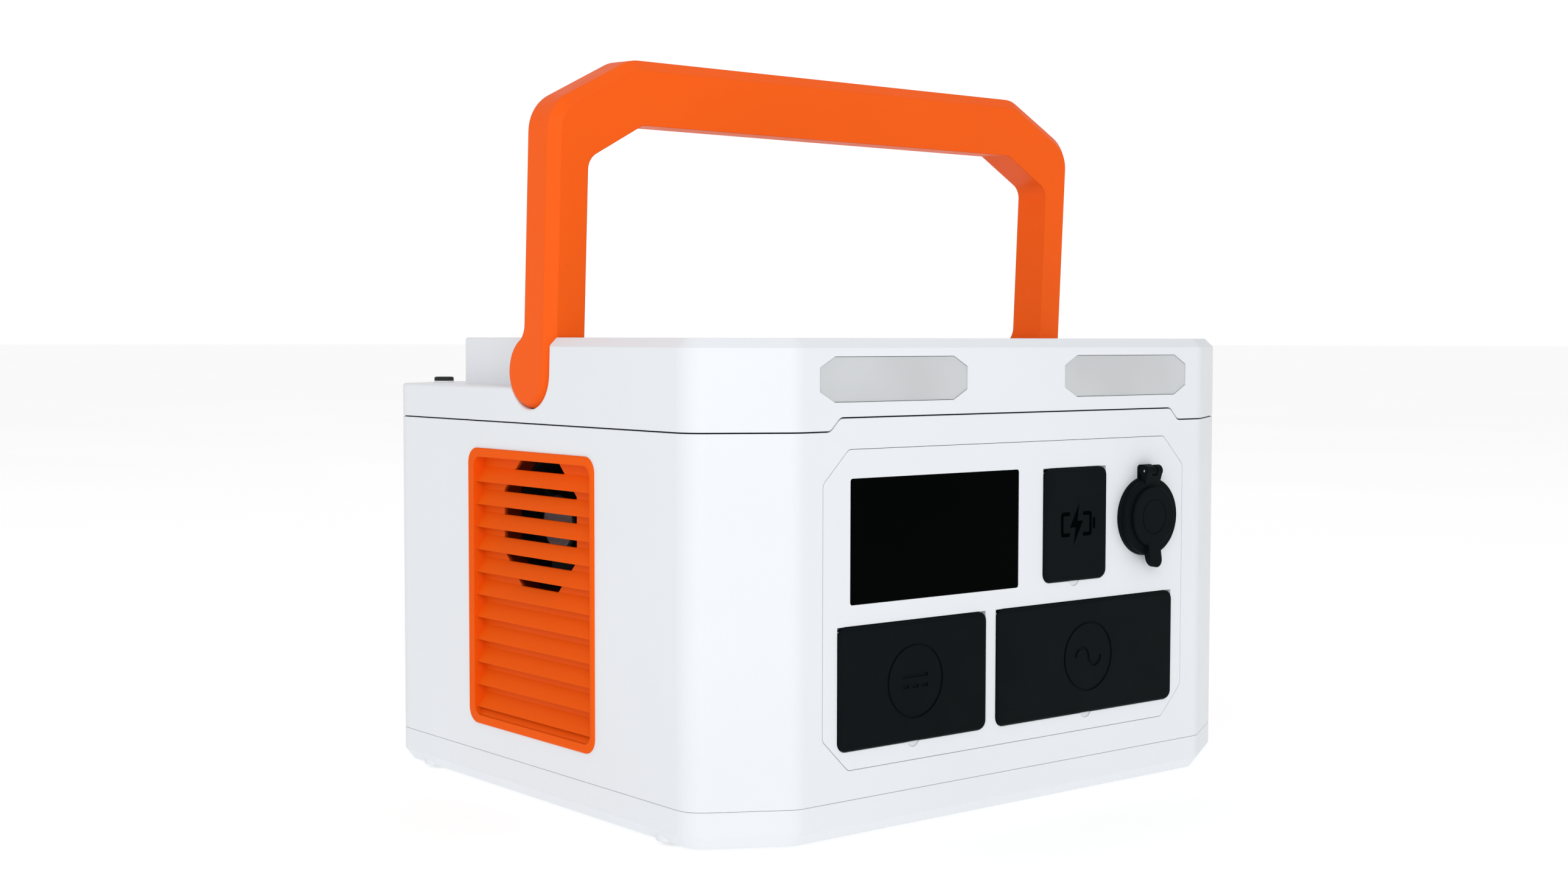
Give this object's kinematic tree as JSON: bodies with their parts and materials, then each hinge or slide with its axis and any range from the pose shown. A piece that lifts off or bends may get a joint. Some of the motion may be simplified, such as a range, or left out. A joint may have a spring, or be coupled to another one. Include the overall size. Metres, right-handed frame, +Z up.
{
  "type": "portable power station",
  "caption": "White battery power station with a fold-down orange carry handle, flap-covered ports, a display, a capped 12 V socket and louvred side vents.",
  "frame": {"origin": "on the ground, under the middle of the case between its left and right sides", "axes": "+X is to the right of someone facing the front, the front faces -Y, +Z is up"},
  "size_m": [0.322, 0.2863, 0.3269],
  "materials": {
    "white_shell": "fine satin moulding",
    "white_panel": "fine satin moulding",
    "orange_plastic": "satin",
    "black_plastic": "satin",
    "button_plastic": "satin",
    "cover_rubber": "matte",
    "black_rubber": "matte",
    "foam_rubber": "matte",
    "cable_rubber": "satin",
    "dark_gasket": "matte",
    "steel": "brushed",
    "steel_sheet": "galvanised sheet",
    "bright_metal": "satin",
    "brass": "satin",
    "copper": "satin",
    "nylon": "satin",
    "display_glass": "gloss",
    "display_dark": "gloss",
    "frosted_lens": "frosted",
    "circuit_board": "solder mask",
    "cell_case": "film wrap",
    "ferrite": "matte",
    "capacitor_sleeve": "sleeve"
  },
  "bodies": {
    "case": {"ac_inlet": "black_plastic", "ac_outlets": "black_plastic", "ac_port_plate": "black_plastic", "barrel_jacks": "black_plastic", "base_tray": "white_shell", "battery_bracket": "steel_sheet", "battery_cells": "cell_case", "bms_board": "circuit_board", "board_standoffs": "brass", "button_switches": "black_plastic", "cap_hinge_pin": "steel", "capacitors": "capacitor_sleeve", "car_socket": "black_plastic", "car_socket_contact": "brass", "car_socket_liner": "bright_metal", "car_socket_nut": "black_plastic", "case_screws": "steel", "cell_busbars": "copper", "cell_pad": "foam_rubber", "charge_port_plate": "black_plastic", "cover_pins": "steel", "dc_port_plate": "black_plastic", "display_board": "circuit_board", "display_module": "display_dark", "display_window": "display_glass", "fan_frame_left": "black_plastic", "fan_frame_right": "black_plastic", "fan_screws": "steel", "front_panel": "white_panel", "handle_bumpers": "black_rubber", "handle_bushings": "nylon", "heat_sinks": "bright_metal", "housing": "white_shell", "inlet_blades": "steel", "inverter_board": "circuit_board", "lid": "white_shell", "lid_gasket": "dark_gasket", "lid_inserts": "brass", "light_boards": "circuit_board", "light_lenses": "frosted_lens", "panel_screws": "steel", "port_boards": "circuit_board", "power_cables": "cable_rubber", "rubber_feet": "black_rubber", "transformer": "ferrite", "usb_shells": "steel", "usb_tongues": "black_plastic", "vent_grille_left": "orange_plastic", "vent_grille_right": "orange_plastic"},
    "handle": {"handle": "orange_plastic", "handle_pins": "steel", "handle_pin_nuts": "steel"},
    "dc_cover": {"dc_cover": "cover_rubber"},
    "ac_cover": {"ac_cover": "cover_rubber"},
    "charge_cover": {"charge_cover": "cover_rubber"},
    "socket_cap": {"car_socket_cap": "cover_rubber"},
    "dc_button": {"dc_button": "button_plastic"},
    "ac_button": {"ac_button": "button_plastic"},
    "fan_rotor_left": {"fan_rotor_left": "black_plastic"},
    "fan_rotor_right": {"fan_rotor_right": "black_plastic"}
  },
  "joints": [
    {"name": "handle_fold", "type": "hinge", "parent": "case", "child": "handle", "pos_m": [0, 0, 0.1896], "axis": [-1, 0, 0], "range_deg": [0, 92.7]},
    {"name": "dc_cover_hinge", "type": "hinge", "parent": "case", "child": "dc_cover", "pos_m": [-0.0601, -0.13825, 0.08615], "axis": [-1, 0, 0], "range_deg": [0, 95]},
    {"name": "ac_cover_hinge", "type": "hinge", "parent": "case", "child": "ac_cover", "pos_m": [0.04495, -0.13825, 0.08615], "axis": [-1, 0, 0], "range_deg": [0, 95]},
    {"name": "charge_cover_hinge", "type": "hinge", "parent": "case", "child": "charge_cover", "pos_m": [0.03665, -0.13825, 0.14565], "axis": [-1, 0, 0], "range_deg": [0, 95]},
    {"name": "socket_cap_hinge", "type": "hinge", "parent": "case", "child": "socket_cap", "pos_m": [0.0828, -0.1432, 0.1446], "axis": [-1, 0, 0], "range_deg": [0, 150]},
    {"name": "dc_button_press", "type": "slide", "parent": "case", "child": "dc_button", "axis": [0, 1, 0], "range_m": [0, 0.0012], "stiffness_N_per_m": 1500},
    {"name": "ac_button_press", "type": "slide", "parent": "case", "child": "ac_button", "axis": [0, 1, 0], "range_m": [0, 0.0012], "stiffness_N_per_m": 1500},
    {"name": "fan_left_spin", "type": "hinge", "parent": "case", "child": "fan_rotor_left", "pos_m": [-0.1341, -0.0016, 0.1232], "axis": [1, 0, 0], "continuous": true},
    {"name": "fan_right_spin", "type": "hinge", "parent": "case", "child": "fan_rotor_right", "pos_m": [0.1341, -0.0016, 0.1232], "axis": [1, 0, 0], "continuous": true}
  ]
}
